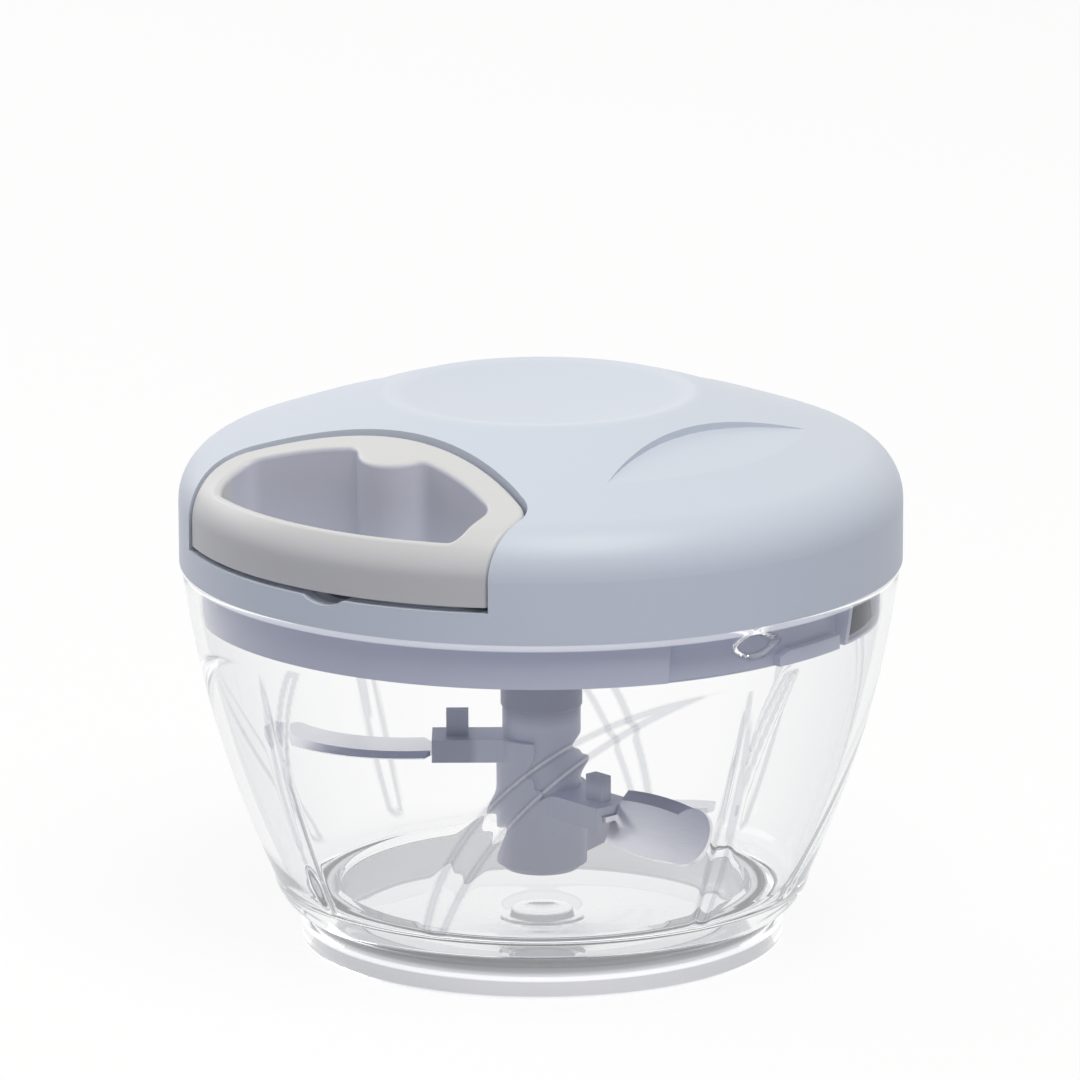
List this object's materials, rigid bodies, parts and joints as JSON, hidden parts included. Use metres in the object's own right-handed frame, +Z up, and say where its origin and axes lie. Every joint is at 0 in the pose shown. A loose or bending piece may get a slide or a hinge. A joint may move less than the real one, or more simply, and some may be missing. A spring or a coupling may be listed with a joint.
{
  "type": "hand-pulled food chopper",
  "caption": "Round food chopper with a clear tapered bowl, a domed twist-lock lid, a pull handle on a retracting cord that spins stepped blades, and a soft foot.",
  "frame": {"origin": "on the bowl's axis, at the surface that the soft foot stands on", "axes": "+Z up along the axis of the bowl and the blades; the handle is pulled towards -Y"},
  "size_m": [0.13, 0.13, 0.1012],
  "materials": {
    "clear_bowl": "clear, polished",
    "foot_rubber": "matt",
    "seal_silicone": "satin",
    "lid_plastic": "fine satin",
    "base_plastic": "satin",
    "handle_plastic": "fine satin",
    "hub_plastic": "satin",
    "blade_steel": "ground",
    "fastener_steel": "plated",
    "spring_steel": "blued",
    "inner_plastic": "smooth",
    "clutch_plastic": "smooth",
    "cord_braid": "braided"
  },
  "bodies": {
    "bowl": {"bowl": "clear_bowl", "foot_ring": "foot_rubber"},
    "seal": {"seal_ring": "seal_silicone"},
    "lid": {"lid_cover": "lid_plastic", "lid_base": "base_plastic", "lid_screws": "fastener_steel", "axle": "fastener_steel", "spring_housing": "inner_plastic", "housing_screws": "fastener_steel", "recoil_spring": "spring_steel", "cord_eyelet": "inner_plastic", "cord_run": "cord_braid", "thrust_washer": "inner_plastic", "output_bush": "inner_plastic"},
    "drum": {"cord_drum": "inner_plastic", "cord_wound": "cord_braid", "clutch_arms": "clutch_plastic"},
    "blades": {"output_spindle": "clutch_plastic", "spindle_clip": "fastener_steel", "grip_ring": "seal_silicone", "blade_hub": "hub_plastic", "blade_upper": "blade_steel", "blade_middle": "blade_steel", "blade_lower": "blade_steel"},
    "handle": {"handle": "handle_plastic", "cord_tail": "cord_braid", "cord_ferrule": "fastener_steel", "knot_cap": "handle_plastic"}
  },
  "joints": [
    {"name": "lid_lift", "type": "slide", "parent": "bowl", "child": "seal", "axis": [0, 0, 1], "range_m": [0, 0.14]},
    {"name": "lid_turn", "type": "hinge", "parent": "seal", "child": "lid", "pos_m": [0, 0, 0.0716], "axis": [0, 0, -1], "range_deg": [0, 16]},
    {"name": "handle_pull", "type": "slide", "parent": "lid", "child": "handle", "axis": [0, -1, 0], "range_m": [0, 0.5], "stiffness_N_per_m": 10, "springref_m": -0.3},
    {"name": "drum_spin", "type": "hinge", "parent": "lid", "child": "drum", "pos_m": [0, 0, 0.084], "axis": [0, 0, 1], "range_deg": [0, 1740], "deforming": ["recoil_spring"]},
    {"name": "blade_spin", "type": "hinge", "parent": "lid", "child": "blades", "pos_m": [0, 0, 0.066], "axis": [0, 0, 1], "range_deg": [0, 1740]}
  ],
  "couplings": [
    {"joint": "drum_spin", "follows": "handle_pull", "rad_per_m": 60.606},
    {"joint": "blade_spin", "follows": "handle_pull", "rad_per_m": 60.606}
  ]
}
